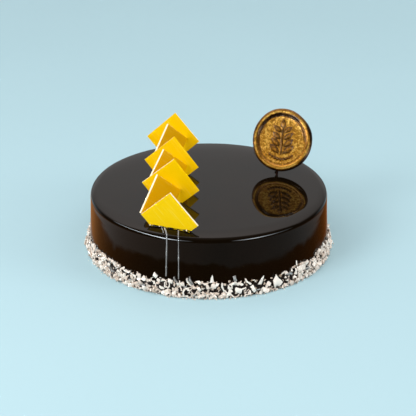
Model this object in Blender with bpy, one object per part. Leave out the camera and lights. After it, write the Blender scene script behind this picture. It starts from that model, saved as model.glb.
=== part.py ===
"""A round truffle cake under a dark glaze, with a ring of white chocolate crumbs round its foot.

A zigzag row of thin yellow chocolate squares stands in the glaze, and a gold medallion stands
beside it on a pick. The origin is the centre of the cake's flat base, +Z is up and the front
faces -Y. Lengths are in metres and angles in degrees.
"""

import itertools
import math
import random

import bmesh
import bpy
from mathutils import Matrix, Vector

MM = 0.001
GAP = 0.3 * MM  # kept between pieces that touch

# The cake: a cylinder with a flat top, a rounded rim and a foot that spreads a little.
CAKE_HEIGHT = 51.2 * MM
CAKE_RADIUS = 95.5 * MM
FOOT_RADIUS = 98.6 * MM
WALL_FLARE = 1.4  # 1 for a straight wall, more for one that spreads nearer to its foot
RIM_ROUNDING = 7.5 * MM
EDGE_FALL = 0.35 * MM  # from the flat middle of the top to where the rim starts to round over
EDGE_FALL_POWER = 12
TOP_RINGS = (0.0, 0.86, 0.94, 1.0)  # shares of the radius where the rim starts
CAKE_SEGMENTS = 96
RIM_STEPS = 6

# The crumb ring: crumbs pressed against the foot of the wall.
RING_HEIGHT = 12.5 * MM
RING_WIDTH = 1.6 * MM
RING_TOP_WIDTH = 0.2 * MM
RING_SEGMENTS = 72
RING_STEPS = 4
CRUMB_COUNT = 260
CRUMB_SMALLEST = 3.0 * MM
CRUMB_USUAL = 4.2 * MM
CRUMB_LARGEST = 6.2 * MM
CRUMB_PRESS = 0.55  # how flat the crumbs lie against the wall
CRUMB_RADIUS_LIMIT = 101.8 * MM
CRUMB_HEIGHT_LIMIT = 16.0 * MM
CRUMB_SEED = 41
GOLDEN_ANGLE = math.pi * (3.0 - math.sqrt(5.0))  # spreads numbered crumbs evenly round the ring
FLOOR_GAP = 0.05 * MM
WALL_GAP = GAP + 0.08 * MM  # a crumb's flat side comes nearer to the wall than its corners do

# The squares, each standing on one corner.
SQUARE_SIDE = 31.3 * MM
SQUARE_THICKNESS = 1.5 * MM
SQUARE_EDGE = 0.15 * MM
# Middle of each square in mm (x, y, height over the glaze), then its turn about the vertical,
# its lean backwards and its roll in its own plane, front to back.
SQUARE_POSES = (
    ((-28.6, -84.6, 6.3), (-19.5, -2.7, -3.7)),
    ((-36.3, -57.6, 9.1), (49.5, 2.3, 5.4)),
    ((-29.3, -38.4, 12.9), (-3.1, 6.1, -7.6)),
    ((-33.0, -19.0, 14.0), (44.9, 2.6, 5.5)),
    ((-30.0, 1.8, 15.7), (-10.1, 9.7, -5.1)),
    ((-32.2, 25.9, 19.4), (51.8, -0.9, 6.5)),
    ((-30.0, 45.9, 20.4), (-5.1, 11.0, -4.5)),
)

# The medallion and its pick.
SEAL_RADIUS = 24.7 * MM
SEAL_FIELD_RADIUS = 19.2 * MM
SEAL_RIM_THICKNESS = 5.4 * MM
SEAL_FIELD_THICKNESS = 3.4 * MM
SEAL_SEGMENTS = 48
SEAL_RIM_STEPS = 8
SEAL_MIDDLE = (60.9 * MM, 27.4 * MM, CAKE_HEIGHT + 26.4 * MM)
SEAL_TURN = -14.5
SEAL_LEAN = 21.0
STEM_LENGTH = 26.0 * MM
STEM_WIDTH = 1.6 * MM
STEM_MIDDLE = -2.0 * MM  # up the face from the medallion's middle
LEAF_LENGTH = 7.0 * MM
LEAF_WIDTH = 3.0 * MM
LEAF_RELIEF = 1.5 * MM
LEAF_PAIRS = 4
LEAF_SPACING = 5.0 * MM
TOP_LEAF = 11.0 * MM
LEAF_REACH = 4.2 * MM  # from the stem to a side leaf's middle
LEAF_SPREAD = 48.0
PICK_RADIUS = 1.1 * MM
PICK_SIDES = 12
PICK_OFFSET = -1.9 * MM  # to the left of the medallion's middle
PICK_DEPTH = 2.4 * MM  # from the medallion's back to the pick's axis
PICK_IN_SEAL = 6.0 * MM
PICK_IN_CAKE = 16.0 * MM


def clear_scene():
    for old in list(bpy.data.objects):
        bpy.data.objects.remove(old, do_unlink=True)


def make_material(name, colour, roughness, metallic=0.0):
    material = bpy.data.materials.new(name)
    material.use_nodes = True
    shader = material.node_tree.nodes["Principled BSDF"]
    shader.inputs["Base Color"].default_value = (*colour, 1.0)
    shader.inputs["Roughness"].default_value = roughness
    shader.inputs["Metallic"].default_value = metallic
    return material


def make_object(name, shape, material=None):
    """The bmesh as an object in the scene, its faces turned outwards."""
    bmesh.ops.recalc_face_normals(shape, faces=shape.faces[:])
    mesh = bpy.data.meshes.new(name)
    shape.to_mesh(mesh)
    shape.free()
    made = bpy.data.objects.new(name, mesh)
    bpy.context.scene.collection.objects.link(made)
    if material:
        mesh.materials.append(material)
    return made


def shade_round(made, sharp_angle=35.0):
    made.data.shade_smooth()
    made.data.set_sharp_from_angle(angle=math.radians(sharp_angle))


def move(shape, matrix):
    bmesh.ops.transform(shape, matrix=matrix, verts=shape.verts[:])


def make_cutter(name, shape):
    cutter = make_object(name, shape)
    cutter.hide_render = True
    cutter.display_type = "WIRE"
    return cutter


def cut(made, cutter):
    modifier = made.modifiers.new(cutter.name, "BOOLEAN")
    modifier.operation = "DIFFERENCE"
    modifier.object = cutter


def turned(profile, segments):
    """A profile of (radius, height) points turned about Z; one that doesn't end on the axis closes."""
    shape = bmesh.new()
    points = [shape.verts.new((radius, 0.0, height)) for radius, height in profile]
    edges = [shape.edges.new(pair) for pair in zip(points, points[1:])]
    if profile[0][0] > 0.0:
        edges.append(shape.edges.new((points[-1], points[0])))
    bmesh.ops.spin(
        shape,
        geom=points + edges,
        cent=(0.0, 0.0, 0.0),
        axis=(0.0, 0.0, 1.0),
        angle=2.0 * math.pi,
        steps=segments,
        use_merge=True,
    )
    bmesh.ops.remove_doubles(shape, verts=shape.verts[:], dist=0.001 * MM)
    return shape


def wall_radius(height):
    """Radius of the cake's wall, which spreads smoothly from the rim to the foot."""
    share = max(0.0, 1.0 - height / (CAKE_HEIGHT - RIM_ROUNDING))
    return CAKE_RADIUS + (FOOT_RADIUS - CAKE_RADIUS) * share**WALL_FLARE


def top_height(radius):
    """Height of the top, flat in the middle and falling softly towards the rim."""
    return CAKE_HEIGHT - EDGE_FALL * (radius / (CAKE_RADIUS - RIM_ROUNDING)) ** EDGE_FALL_POWER


def cake_profile():
    flat_radius = CAKE_RADIUS - RIM_ROUNDING
    profile = [(flat_radius * share, top_height(flat_radius * share)) for share in TOP_RINGS]
    rim_centre = top_height(flat_radius) - RIM_ROUNDING
    for i in range(1, RIM_STEPS + 1):
        angle = 0.5 * math.pi * i / RIM_STEPS
        outwards = RIM_ROUNDING * math.sin(angle)
        upwards = RIM_ROUNDING * math.cos(angle)
        profile.append((flat_radius + outwards, rim_centre + upwards))
    for height in (rim_centre * 0.66, rim_centre * 0.33, 0.0):
        profile.append((wall_radius(height), height))
    return profile + [(0.0, 0.0)]


def pose_matrix(middle, turn, lean, roll=0.0):
    """Stands a shape made in the XZ plane, facing -Y, at its place on the cake."""
    turned_round = Matrix.Rotation(math.radians(turn), 4, "Z")
    leaned = Matrix.Rotation(math.radians(-lean), 4, "X")
    rolled = Matrix.Rotation(math.radians(-roll), 4, "Y")
    return Matrix.Translation(middle) @ turned_round @ leaned @ rolled


def square_shape(side, thickness, edge):
    """A thin square plate in the XZ plane, standing on a corner."""
    shape = bmesh.new()
    bmesh.ops.create_cube(shape, size=1.0)
    bmesh.ops.scale(shape, vec=(side, thickness, side), verts=shape.verts[:])
    if edge:
        bmesh.ops.bevel(shape, geom=shape.edges[:], offset=edge, segments=1, affect="EDGES")
    move(shape, Matrix.Rotation(math.radians(45), 4, "Y"))
    return shape


def make_squares(cake, material):
    """The row of squares, each in a slot that it leaves in the glaze."""
    for number, (middle, angles) in enumerate(SQUARE_POSES, start=1):
        place = Vector(middle) * MM + Vector((0.0, 0.0, CAKE_HEIGHT))
        matrix = pose_matrix(place, *angles)
        square = make_object(
            f"chocolate_square_{number}",
            square_shape(SQUARE_SIDE, SQUARE_THICKNESS, SQUARE_EDGE),
            material,
        )
        square.matrix_world = matrix
        slot = make_cutter(
            f"square_slot_{number}",
            square_shape(SQUARE_SIDE + 2 * GAP, SQUARE_THICKNESS + 2 * GAP, 0.0),
        )
        slot.matrix_world = matrix
        cut(cake, slot)


def seal_outline(angle):
    """The medallion was pressed from a soft blob, so its edge wanders a little."""
    oval = 0.012 * math.sin(2 * angle + 0.6)
    lobes = 0.009 * math.sin(3 * angle + 2.1)
    ripple = 0.005 * math.sin(7 * angle)
    return 1.0 + oval + lobes + ripple


def seal_profile():
    """Share of the radius and depth along -Y, from the back's middle to the face's middle."""
    tube = SEAL_RIM_THICKNESS / 2
    field_share = SEAL_FIELD_RADIUS / SEAL_RADIUS
    rim_share = (SEAL_RADIUS - tube) / SEAL_RADIUS
    profile = [(0.0, 0.0)]
    for i in range(SEAL_RIM_STEPS + 1):
        angle = math.pi * (i / SEAL_RIM_STEPS - 0.5) * 1.25
        profile.append((rim_share + tube / SEAL_RADIUS * math.cos(angle), tube + tube * math.sin(angle)))
    profile.append((field_share, SEAL_FIELD_THICKNESS))
    profile.append((0.0, SEAL_FIELD_THICKNESS))
    return profile


def seal_shape():
    shape = bmesh.new()
    rings = []
    for share, depth in seal_profile():
        if share == 0.0:
            rings.append([shape.verts.new((0.0, -depth, 0.0))] * SEAL_SEGMENTS)
            continue
        ring = []
        for i in range(SEAL_SEGMENTS):
            angle = 2 * math.pi * i / SEAL_SEGMENTS
            radius = SEAL_RADIUS * share * (1.0 + (seal_outline(angle) - 1.0) * share**2)
            ring.append(shape.verts.new((radius * math.cos(angle), -depth, radius * math.sin(angle))))
        rings.append(ring)
    for inner, outer in zip(rings, rings[1:]):
        for i in range(SEAL_SEGMENTS):
            j = (i + 1) % SEAL_SEGMENTS
            corners = dict.fromkeys((inner[i], outer[i], outer[j], inner[j]))
            shape.faces.new(list(corners))
    return shape


def raised_shape(length, width, matrix):
    """A long low bump lying on the medallion's face, along its local X before the matrix."""
    shape = bmesh.new()
    bmesh.ops.create_icosphere(shape, subdivisions=1, radius=0.5)
    bmesh.ops.scale(shape, vec=(length, LEAF_RELIEF, width), verts=shape.verts[:])
    move(shape, matrix)
    return shape


def on_face(x, z, angle):
    """A place on the medallion's face, turned by an angle from its local X."""
    place = Matrix.Translation((x, -SEAL_FIELD_THICKNESS, z))
    return place @ Matrix.Rotation(math.radians(-angle), 4, "Y")


def sprig_shapes():
    """A stem with a leaf at its tip and pairs of leaves down its sides, growing towards its foot."""
    shapes = [
        raised_shape(STEM_LENGTH, STEM_WIDTH, on_face(0.0, STEM_MIDDLE, 90.0)),
        raised_shape(LEAF_LENGTH, LEAF_WIDTH, on_face(0.0, TOP_LEAF, 90.0)),
    ]
    for pair in range(LEAF_PAIRS):
        height = TOP_LEAF - LEAF_SPACING * (pair + 1)
        size = 0.8 + 0.1 * pair
        for side in (-1, 1):
            matrix = on_face(side * LEAF_REACH, height, 90.0 - side * LEAF_SPREAD)
            shapes.append(raised_shape(LEAF_LENGTH * size, LEAF_WIDTH * size, matrix))
    return shapes


def make_seal(material):
    """The medallion, with a sprig of leaves raised on its face."""
    seal = make_object("gold_seal", seal_shape(), material)
    fuse(seal, sprig_shapes())
    shade_round(seal)
    seal.matrix_world = pose_matrix(SEAL_MIDDLE, SEAL_TURN, SEAL_LEAN)
    return seal


def cylinder_shape(radius, bottom, top):
    shape = bmesh.new()
    bmesh.ops.create_cone(
        shape,
        cap_ends=True,
        segments=PICK_SIDES,
        radius1=radius,
        radius2=radius,
        depth=top - bottom,
    )
    bmesh.ops.translate(shape, vec=(0.0, 0.0, (top + bottom) / 2), verts=shape.verts[:])
    return shape


def make_pick(cake, seal, material):
    """The pick runs from inside the cake into the medallion's lower edge, in the medallion's plane."""
    edge = -SEAL_RADIUS
    above_glaze = SEAL_MIDDLE[2] - CAKE_HEIGHT - SEAL_RADIUS
    foot = edge - above_glaze - PICK_IN_CAKE
    head = edge + PICK_IN_SEAL
    matrix = seal.matrix_world @ Matrix.Translation((PICK_OFFSET, -PICK_DEPTH, 0.0))
    pick = make_object("seal_pick", cylinder_shape(PICK_RADIUS, foot, head), material)
    shade_round(pick)
    pick.matrix_world = matrix
    seal_hole = make_cutter("seal_hole", cylinder_shape(PICK_RADIUS + GAP, foot, head + GAP))
    cake_hole = make_cutter("cake_hole", cylinder_shape(PICK_RADIUS + GAP, foot - GAP, edge))
    for made, hole in ((seal, seal_hole), (cake, cake_hole)):
        hole.matrix_world = matrix
        cut(made, hole)


def ring_profile():
    """Section of the ring's core: up beside the cake's wall, then down its own rounded side."""
    levels = [RING_HEIGHT * i / RING_STEPS for i in range(RING_STEPS + 1)]
    profile = [(wall_radius(level) + GAP, level) for level in levels]
    shoulder = FOOT_RADIUS + GAP + RING_TOP_WIDTH
    for i in range(RING_STEPS + 1):
        angle = 0.5 * math.pi * i / RING_STEPS
        outwards = (RING_WIDTH - RING_TOP_WIDTH) * math.sin(angle)
        profile.append((shoulder + outwards, RING_HEIGHT * 0.95 * math.cos(angle)))
    return profile


def crumb_shape(rng, size):
    """A broken flake: the hull of a box's corners, each pushed about."""
    shape = bmesh.new()
    lengths = (size, size * rng.uniform(0.55, 0.95), size * rng.uniform(0.3, 0.65))
    for signs in itertools.product((-0.5, 0.5), repeat=3):
        shape.verts.new([sign * length * rng.uniform(0.62, 1.12) for sign, length in zip(signs, lengths)])
    tumble = Matrix.Rotation(rng.uniform(0, 2 * math.pi), 4, "X")
    turn = Matrix.Rotation(rng.uniform(0, 2 * math.pi), 4, "Z")
    move(shape, tumble @ turn)
    hull = bmesh.ops.convex_hull(shape, input=shape.verts[:])
    inner = [item for item in hull["geom_interior"] if isinstance(item, bmesh.types.BMVert)]
    bmesh.ops.delete(shape, geom=inner, context="VERTS")
    return shape


def place_crumb(rng, shape, angle, height):
    """Sets a crumb half into the ring, then moves it off the floor and off the cake's wall."""
    outwards = Vector((math.cos(angle), math.sin(angle), 0.0))
    move(shape, Matrix.Scale(CRUMB_PRESS, 4, outwards))
    reach = max(corner.co.length for corner in shape.verts)
    surface = wall_radius(height) + RING_WIDTH * (1.0 - 0.45 * height / RING_HEIGHT)
    radius = min(surface + rng.uniform(0.1, 0.8) * reach, CRUMB_RADIUS_LIMIT - 0.8 * reach)
    move(shape, Matrix.Translation(outwards * radius + Vector((0.0, 0.0, height))))
    lowest = min(corner.co.z for corner in shape.verts)
    highest = max(corner.co.z for corner in shape.verts)
    lift = max(0.0, FLOOR_GAP - lowest) + min(0.0, CRUMB_HEIGHT_LIMIT - highest)
    move(shape, Matrix.Translation((0.0, 0.0, lift)))
    clearance = min(corner.co.xy.length - wall_radius(corner.co.z) for corner in shape.verts)
    excess = max(corner.co.xy.length for corner in shape.verts) - CRUMB_RADIUS_LIMIT
    push = max(WALL_GAP - clearance, min(0.0, -excess))
    move(shape, Matrix.Translation(outwards * push))


def make_crumb_ring(material):
    """One heap: a turned core with the crumbs that show fused on, the largest first."""
    ring = make_object("crumb_ring", turned(ring_profile(), RING_SEGMENTS), material)
    rng = random.Random(CRUMB_SEED)
    sizes = [rng.triangular(CRUMB_SMALLEST, CRUMB_LARGEST, CRUMB_USUAL) for _ in range(CRUMB_COUNT)]
    crumbs = []
    for number, size in enumerate(sorted(sizes, reverse=True)):
        shape = crumb_shape(rng, size)
        angle = GOLDEN_ANGLE * number + rng.uniform(-0.025, 0.025)
        place_crumb(rng, shape, angle, rng.uniform(0.0, 1.0) * RING_HEIGHT)
        crumbs.append(shape)
    fuse(ring, crumbs, solver="MANIFOLD")


def fuse(made, shapes, solver="EXACT"):
    """Joins every shape to the object by one Boolean union."""
    parts = bpy.data.collections.new("parts")
    bpy.context.scene.collection.children.link(parts)
    for number, shape in enumerate(shapes):
        part = make_object(f"part_{number}", shape)
        bpy.context.scene.collection.objects.unlink(part)
        parts.objects.link(part)
    modifier = made.modifiers.new("fuse", "BOOLEAN")
    modifier.operation = "UNION"
    modifier.solver = solver
    modifier.operand_type = "COLLECTION"
    modifier.collection = parts
    graph = bpy.context.evaluated_depsgraph_get()
    fused = bpy.data.meshes.new_from_object(made.evaluated_get(graph), depsgraph=graph)
    made.modifiers.remove(modifier)
    material = made.data.materials[0]
    made.data = fused
    fused.materials.clear()
    fused.materials.append(material)
    for part in list(parts.objects):
        bpy.data.objects.remove(part, do_unlink=True)
    bpy.data.collections.remove(parts)
    keep_largest_shell(fused)


def shell_of(corner):
    """Every vertex joined to this one by edges."""
    shell = {corner}
    front = [corner]
    while front:
        for edge in front.pop().link_edges:
            new = set(edge.verts) - shell
            shell |= new
            front.extend(new)
    return shell


def keep_largest_shell(mesh):
    """Fills the hollows that fusing seals and drops loose scraps."""
    shape = bmesh.new()
    shape.from_mesh(mesh)
    left = set(shape.verts)
    largest = set()
    while left:
        shell = shell_of(next(iter(left)))
        left -= shell
        largest = max(largest, shell, key=len)
    extra = [corner for corner in shape.verts if corner not in largest]
    bmesh.ops.delete(shape, geom=extra, context="VERTS")
    shape.to_mesh(mesh)
    shape.free()


def main():
    clear_scene()
    glaze = make_material("dark_glaze", (0.012, 0.008, 0.007), 0.06)
    white_crumb = make_material("white_crumb", (0.80, 0.75, 0.66), 0.75)
    yellow_chocolate = make_material("yellow_chocolate", (0.88, 0.54, 0.004), 0.45)
    gold = make_material("gold", (0.60, 0.36, 0.09), 0.28, metallic=1.0)
    dark_pick = make_material("dark_pick", (0.03, 0.012, 0.008), 0.5)

    cake = make_object("glazed_cake", turned(cake_profile(), CAKE_SEGMENTS), glaze)
    shade_round(cake)
    make_squares(cake, yellow_chocolate)
    seal = make_seal(gold)
    make_pick(cake, seal, dark_pick)
    make_crumb_ring(white_crumb)


main()
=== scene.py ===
"""Dresses a packed truffle cake: mirror glaze, crumbs, chocolate squares, medallion and studio.

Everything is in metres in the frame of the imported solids: +Z up, the front towards -Y, and the
origin at the middle of the cake's flat base.
"""

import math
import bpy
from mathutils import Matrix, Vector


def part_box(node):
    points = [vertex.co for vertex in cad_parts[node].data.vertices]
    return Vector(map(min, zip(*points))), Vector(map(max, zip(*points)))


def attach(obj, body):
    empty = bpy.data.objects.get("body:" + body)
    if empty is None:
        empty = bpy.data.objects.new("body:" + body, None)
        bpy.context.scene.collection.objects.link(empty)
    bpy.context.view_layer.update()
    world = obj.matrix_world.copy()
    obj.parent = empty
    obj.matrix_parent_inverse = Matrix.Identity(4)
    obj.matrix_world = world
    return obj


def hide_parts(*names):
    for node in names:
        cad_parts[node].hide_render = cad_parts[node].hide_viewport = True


bl_info = {
    "name": "Glazed truffle cake",
    "version": (1, 0, 0),
    "blender": (4, 5, 0),
    "location": "3D View > Sidebar > Cake",
    "description": "Models a mirror-glazed truffle cake with its crumbs and chocolate decorations",
    "category": "Object",
}

import bpy
import numpy as np
from bpy.props import FloatProperty, FloatVectorProperty, IntProperty, PointerProperty
from mathutils import Matrix, Vector, noise

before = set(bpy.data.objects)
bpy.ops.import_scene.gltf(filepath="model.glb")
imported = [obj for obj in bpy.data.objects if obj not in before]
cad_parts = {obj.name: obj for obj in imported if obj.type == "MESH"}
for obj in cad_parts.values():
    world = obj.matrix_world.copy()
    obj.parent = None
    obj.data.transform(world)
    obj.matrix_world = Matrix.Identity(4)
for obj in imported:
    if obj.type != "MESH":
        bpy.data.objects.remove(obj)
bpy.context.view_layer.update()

MM = 0.001
BODY = "root"
CAKE_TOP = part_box("glazed_cake")[1].z
CAKE_FOOT_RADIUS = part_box("glazed_cake")[1].x
SQUARE_NODES = [f"chocolate_square_{number}" for number in range(1, 8)]


# ---------------------------------------------------------------- settings


def length(label, about, millimetres):
    return FloatProperty(name=label, description=about, default=millimetres * MM, unit="LENGTH", precision=5)


def angle(label, about, degrees):
    return FloatProperty(name=label, description=about, default=math.radians(degrees), subtype="ANGLE")


def number_of(label, what, default):
    return IntProperty(name=label, description=f"Number of {what}", default=default, min=0)


def linear(hex_colour):
    """An sRGB hex colour such as #F9C905 as linear red, green, blue and alpha."""
    channels = [int(hex_colour[i : i + 2], 16) / 255 for i in (1, 3, 5)]
    return (*[c / 12.92 if c <= 0.04045 else ((c + 0.055) / 1.055) ** 2.4 for c in channels], 1.0)


def colour(label, about, hex_colour):
    default = linear(hex_colour)
    return FloatVectorProperty(
        name=label, description=about, default=default, size=4, subtype="COLOR", min=0.0, max=1.0
    )


class GlazeSettings(bpy.types.PropertyGroup):
    wall_radius: length("Wall radius", "Radius of the cake just under its rim", 95.5)
    wall_flare: FloatProperty(
        name="Wall flare", description="How late the wall spreads to its foot", default=1.4
    )
    rim_rounding: length("Rim rounding", "Radius of the round edge between the top and the wall", 7.5)
    edge_fall: length("Edge fall", "How far the top drops before the rim starts to round over", 0.27)
    segments: IntProperty(name="Segments", description="Sides of the turned cake", default=224, min=24)
    tint: colour("Tint", "Colour deep in the dark glaze", "#0D0803")


class SquareSettings(bpy.types.PropertyGroup):
    side: length("Side", "Side of each square of chocolate", 31.3)
    thickness: length("Thickness", "Thickness of each square", 1.5)
    unevenness: length("Unevenness", "How far the snapped edges wander", 0.07)
    tint: colour("Tint", "Colour of the cocoa butter on the faces", "#FBC900")
    # The squares that stand across face away from the key light: their deeper, more orange tint is painted
    # shade and bounced yellow light.
    shaded_tint: colour("Deep tint", "Colour of the cocoa butter on the squares that stand across", "#FAB600")
    edge_tint: colour("Edge tint", "Colour of the white chocolate in the snapped edges", "#FFF3DC")


class SealSettings(bpy.types.PropertyGroup):
    radius: length("Radius", "Mean radius of the medallion", 24.7)
    field_radius: length("Field radius", "Radius of the sunken field inside the rim", 19.4)
    rim_thickness: length("Rim thickness", "Thickness of the rolled rim", 5.4)
    field_thickness: length("Field thickness", "Thickness of the sunken field", 3.6)
    turn: angle("Turn", "Turn about the vertical", -14.5)
    lean: angle("Lean", "Lean backwards", 21.0)
    stretch: FloatProperty(name="Stretch", description="How much taller than wide it is", default=1.045)
    tint: colour("Tint", "Colour of the gold lustre", "#CC8C28")
    # The darkest tone: dark chocolate on the sprig and in the hollows, and painted shade in the groove and
    # round the edge.
    patina_and_shade: colour("Patina", "Colour of the chocolate that shows through the lustre", "#2A1606")


class CrumbSettings(bpy.types.PropertyGroup):
    height: length("Height", "Mean height of the ring of crumbs on the wall", 12.4)
    width: length("Width", "Mean width of the ring at its foot", 1.1)
    under: number_of("Under layer", "small crumbs under the others", 620)
    chunks: number_of("Chunks", "blocky crumbs", 330)
    folds: number_of("Folds", "flakes with a fold", 230)
    curls: number_of("Curls", "rolled flakes", 250)
    shards: number_of("Shards", "pointed slivers", 90)
    clear_flakes: number_of("Clear flakes", "glassy sugar flakes", 40)
    specks: number_of("Specks", "fine specks", 420)
    tint: colour("Tint", "Colour of the palest crumbs", "#FFF4E9")
    # The darkest tone: painted shade on the under layer, and the own tone of the darkest loose crumbs.
    shade: colour("Shade", "Colour of the darkest crumbs", "#A08870")


class ThreadSettings(bpy.types.PropertyGroup):
    thickness: length("Thickness", "Thickness of the threads of glaze on the wall", 0.9)
    tint: colour("Tint", "Colour of the set threads", "#B9B7B6")


class StageSettings(bpy.types.PropertyGroup):
    floor_tint: colour("Floor", "Colour of the studio floor", "#A9C6CE")
    pitch: angle("Pitch", "How far the camera looks down", 24.57)
    focal_length: FloatProperty(name="Focal length", description="In mm on a 36 mm sensor", default=83.19)
    distance: length("Distance", "From the camera to the cake along the view", 800.0)


class CakeSettings(bpy.types.PropertyGroup):
    glaze: PointerProperty(type=GlazeSettings)
    squares: PointerProperty(type=SquareSettings)
    seal: PointerProperty(type=SealSettings)
    crumbs: PointerProperty(type=CrumbSettings)
    threads: PointerProperty(type=ThreadSettings)
    stage: PointerProperty(type=StageSettings)


# ---------------------------------------------------------------- modelling helpers


def deselect_all():
    if bpy.context.mode != "OBJECT":
        bpy.ops.object.mode_set(mode="OBJECT")
    bpy.ops.object.select_all(action="DESELECT")


def select_only(*pieces):
    """Selects these pieces, the first of them active."""
    deselect_all()
    for piece in pieces:
        piece.select_set(True)
    bpy.context.view_layer.objects.active = pieces[0]


def edit(piece):
    """Enters edit mode with everything selected."""
    select_only(piece)
    bpy.ops.object.mode_set(mode="EDIT")
    bpy.ops.mesh.select_all(action="SELECT")


def face_outwards(piece):
    edit(piece)
    bpy.ops.mesh.normals_make_consistent(inside=False)
    bpy.ops.object.mode_set(mode="OBJECT")


def join(pieces):
    select_only(*pieces)
    bpy.ops.object.join()
    return pieces[0]


def apply_modifier(piece, kind, **settings):
    select_only(piece)
    modifier = piece.modifiers.new(kind.lower(), kind)
    for name, value in settings.items():
        setattr(modifier, name, value)
    bpy.ops.object.modifier_apply(modifier=modifier.name)


def apply_place(piece, matrix=None):
    """Moves the place of a piece into its mesh, so that its object is at the origin."""
    if matrix is not None:
        piece.matrix_world = matrix
    select_only(piece)
    bpy.ops.object.transform_apply(location=True, rotation=True, scale=True)


def smooth(piece, sharp_angle=40.0):
    select_only(piece)
    bpy.ops.object.shade_smooth_by_angle(angle=math.radians(sharp_angle))


def finish(piece, name, materials, replaced=()):
    """Names a finished piece, gives it its materials and ties it to the frame."""
    piece.name = name
    piece.data.name = name
    if not piece.data.materials:
        for material in materials:
            piece.data.materials.append(material)
    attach(piece, BODY)
    if replaced:
        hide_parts(*replaced)


def raise_profile(profile, segments):
    """Raises a round shape from a disc, as on a wheel: one extrusion for each (radius, height)."""
    deselect_all()
    (radius, height), *steps = profile
    bpy.ops.mesh.primitive_circle_add(
        vertices=segments, radius=radius, fill_type="NGON", location=(0.0, 0.0, height)
    )
    piece = bpy.context.object
    edit(piece)
    for next_radius, next_height in steps:
        rise = (0.0, 0.0, next_height - height)
        bpy.ops.mesh.extrude_region_move(TRANSFORM_OT_translate={"value": rise})
        if next_radius == 0.0:
            bpy.ops.mesh.merge(type="CENTER")
        else:
            share = next_radius / radius
            bpy.ops.transform.resize(value=(share, share, 1.0))
        radius, height = next_radius, next_height
    face_outwards(piece)
    apply_place(piece)
    return piece


def draw_tube(name, thickness, resolution, points):
    """A capped round tube through points, each (place, share of its thickness there), as a mesh."""
    curve = bpy.data.curves.new(name, "CURVE")
    curve.dimensions = "3D"
    curve.bevel_depth = thickness / 2
    curve.bevel_resolution = resolution
    curve.use_fill_caps = True
    spline = curve.splines.new("POLY")
    spline.points.add(len(points) - 1)
    for point, (place, share) in zip(spline.points, points):
        point.co = (*place, 1.0)
        point.radius = share
    tube = bpy.data.objects.new(name, curve)
    bpy.context.scene.collection.objects.link(tube)
    select_only(tube)
    bpy.ops.object.convert(target="MESH")
    tube = bpy.context.object
    tube.data.shade_smooth()
    return tube


# ---------------------------------------------------------------- material helpers


def add_node(tree, kind, inputs=(), stops=(), **settings):
    """Adds a node with its settings, inputs and colour stops, and gives its outputs.

    An input that is another node's socket is linked, and any other is set as a value. Inputs without
    names are taken in their order.
    """
    node = tree.nodes.new("ShaderNode" + kind)
    for name, value in settings.items():
        setattr(node, name, value)
    for socket, value in inputs.items() if isinstance(inputs, dict) else enumerate(inputs):
        if isinstance(value, bpy.types.NodeSocket):
            tree.links.new(value, node.inputs[socket])
        else:
            node.inputs[socket].default_value = value
    if stops:
        elements = node.color_ramp.elements
        elements.remove(elements[-1])
        elements[0].position, elements[0].color = stops[0]
        for position, tone in stops[1:]:
            elements.new(position).color = tone
    return node.outputs


def start_material(name, coordinates="Object"):
    """An empty node material with the coordinates of its patterns, in metres on an object."""
    material = bpy.data.materials.new(name)
    material.use_nodes = True
    material.node_tree.nodes.clear()
    return material, material.node_tree, add_node(material.node_tree, "TexCoord")[coordinates]


def end_material(material, inputs):
    """Adds the shader with its inputs, and the output."""
    shader = add_node(material.node_tree, "BsdfPrincipled", inputs)
    add_node(material.node_tree, "OutputMaterial", {"Surface": shader["BSDF"]})
    return material


def per_metre(millimetres):
    """Scale of a texture whose features are that many millimetres across."""
    return 1000.0 / millimetres


def grained_material(
    name, across, tones, relief, shine, detail=2.0, texture="TexNoise", shaded=False, constants=()
):
    """A surface with one grain, so many mm across, that gives it its tones and its relief.

    The relief is its strength and its depth in mm. The shine is a roughness, or the two that the grain
    runs between. A shaded grain is moved up the tones by each crumb's own shade.
    """
    material, tree, place = start_material(name)
    grain = add_node(tree, texture, {"Vector": place, "Scale": per_metre(across), "Detail": detail})[0]
    level = grain
    if shaded:
        own = add_node(tree, "Attribute", attribute_name="shade")["Fac"]
        level = add_node(tree, "Math", (grain, 0.5, own), operation="MULTIPLY_ADD")["Value"]
    tone = add_node(tree, "ValToRGB", {"Fac": level}, tones)
    if isinstance(shine, tuple):
        low, high = shine
        span = {"From Min": 0.3, "From Max": 0.7, "To Min": low, "To Max": high}
        shine = add_node(tree, "MapRange", {"Value": grain, **span})["Result"]
    strength, depth = relief
    bumps = add_node(tree, "Bump", {"Height": grain, "Strength": strength, "Distance": depth * MM})
    inputs = {"Base Color": tone["Color"], "Roughness": shine, "Normal": bumps["Normal"]}
    return end_material(material, {**inputs, **dict(constants)})


# ---------------------------------------------------------------- the glazed cake

# Tilt of the rim's surface from flat, in degrees, and the tilt with which the set glaze shades.
RIM_TILTS = (
    (0, 2.2), (28, 14), (55, 28), (62, 46), (67, 62), (72, 74), (77, 80), (82, 83), (87, 85.5), (90, 90),
)
WALL_STEPS = 12
RIM_STEPS = 36
# Rings of the flat top, as shares of its radius.
TOP_RINGS = (0.98, 0.96, 0.94, 0.92, 0.9, 0.87, 0.84, 0.8, 0.7, 0.5, 0.3, 0.1, 0.0)


def wall_radius(height):
    """Radius of the wall, which spreads smoothly from the rim to the foot."""
    glaze = bpy.context.scene.cake.glaze
    share = max(0.0, 1.0 - height / (CAKE_TOP - glaze.rim_rounding))
    return glaze.wall_radius + (CAKE_FOOT_RADIUS - glaze.wall_radius) * share**glaze.wall_flare


def rim_middle():
    """Radius and height of the line that the rim is rounded about."""
    glaze = bpy.context.scene.cake.glaze
    return glaze.wall_radius - glaze.rim_rounding, CAKE_TOP - glaze.edge_fall - glaze.rim_rounding


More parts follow.
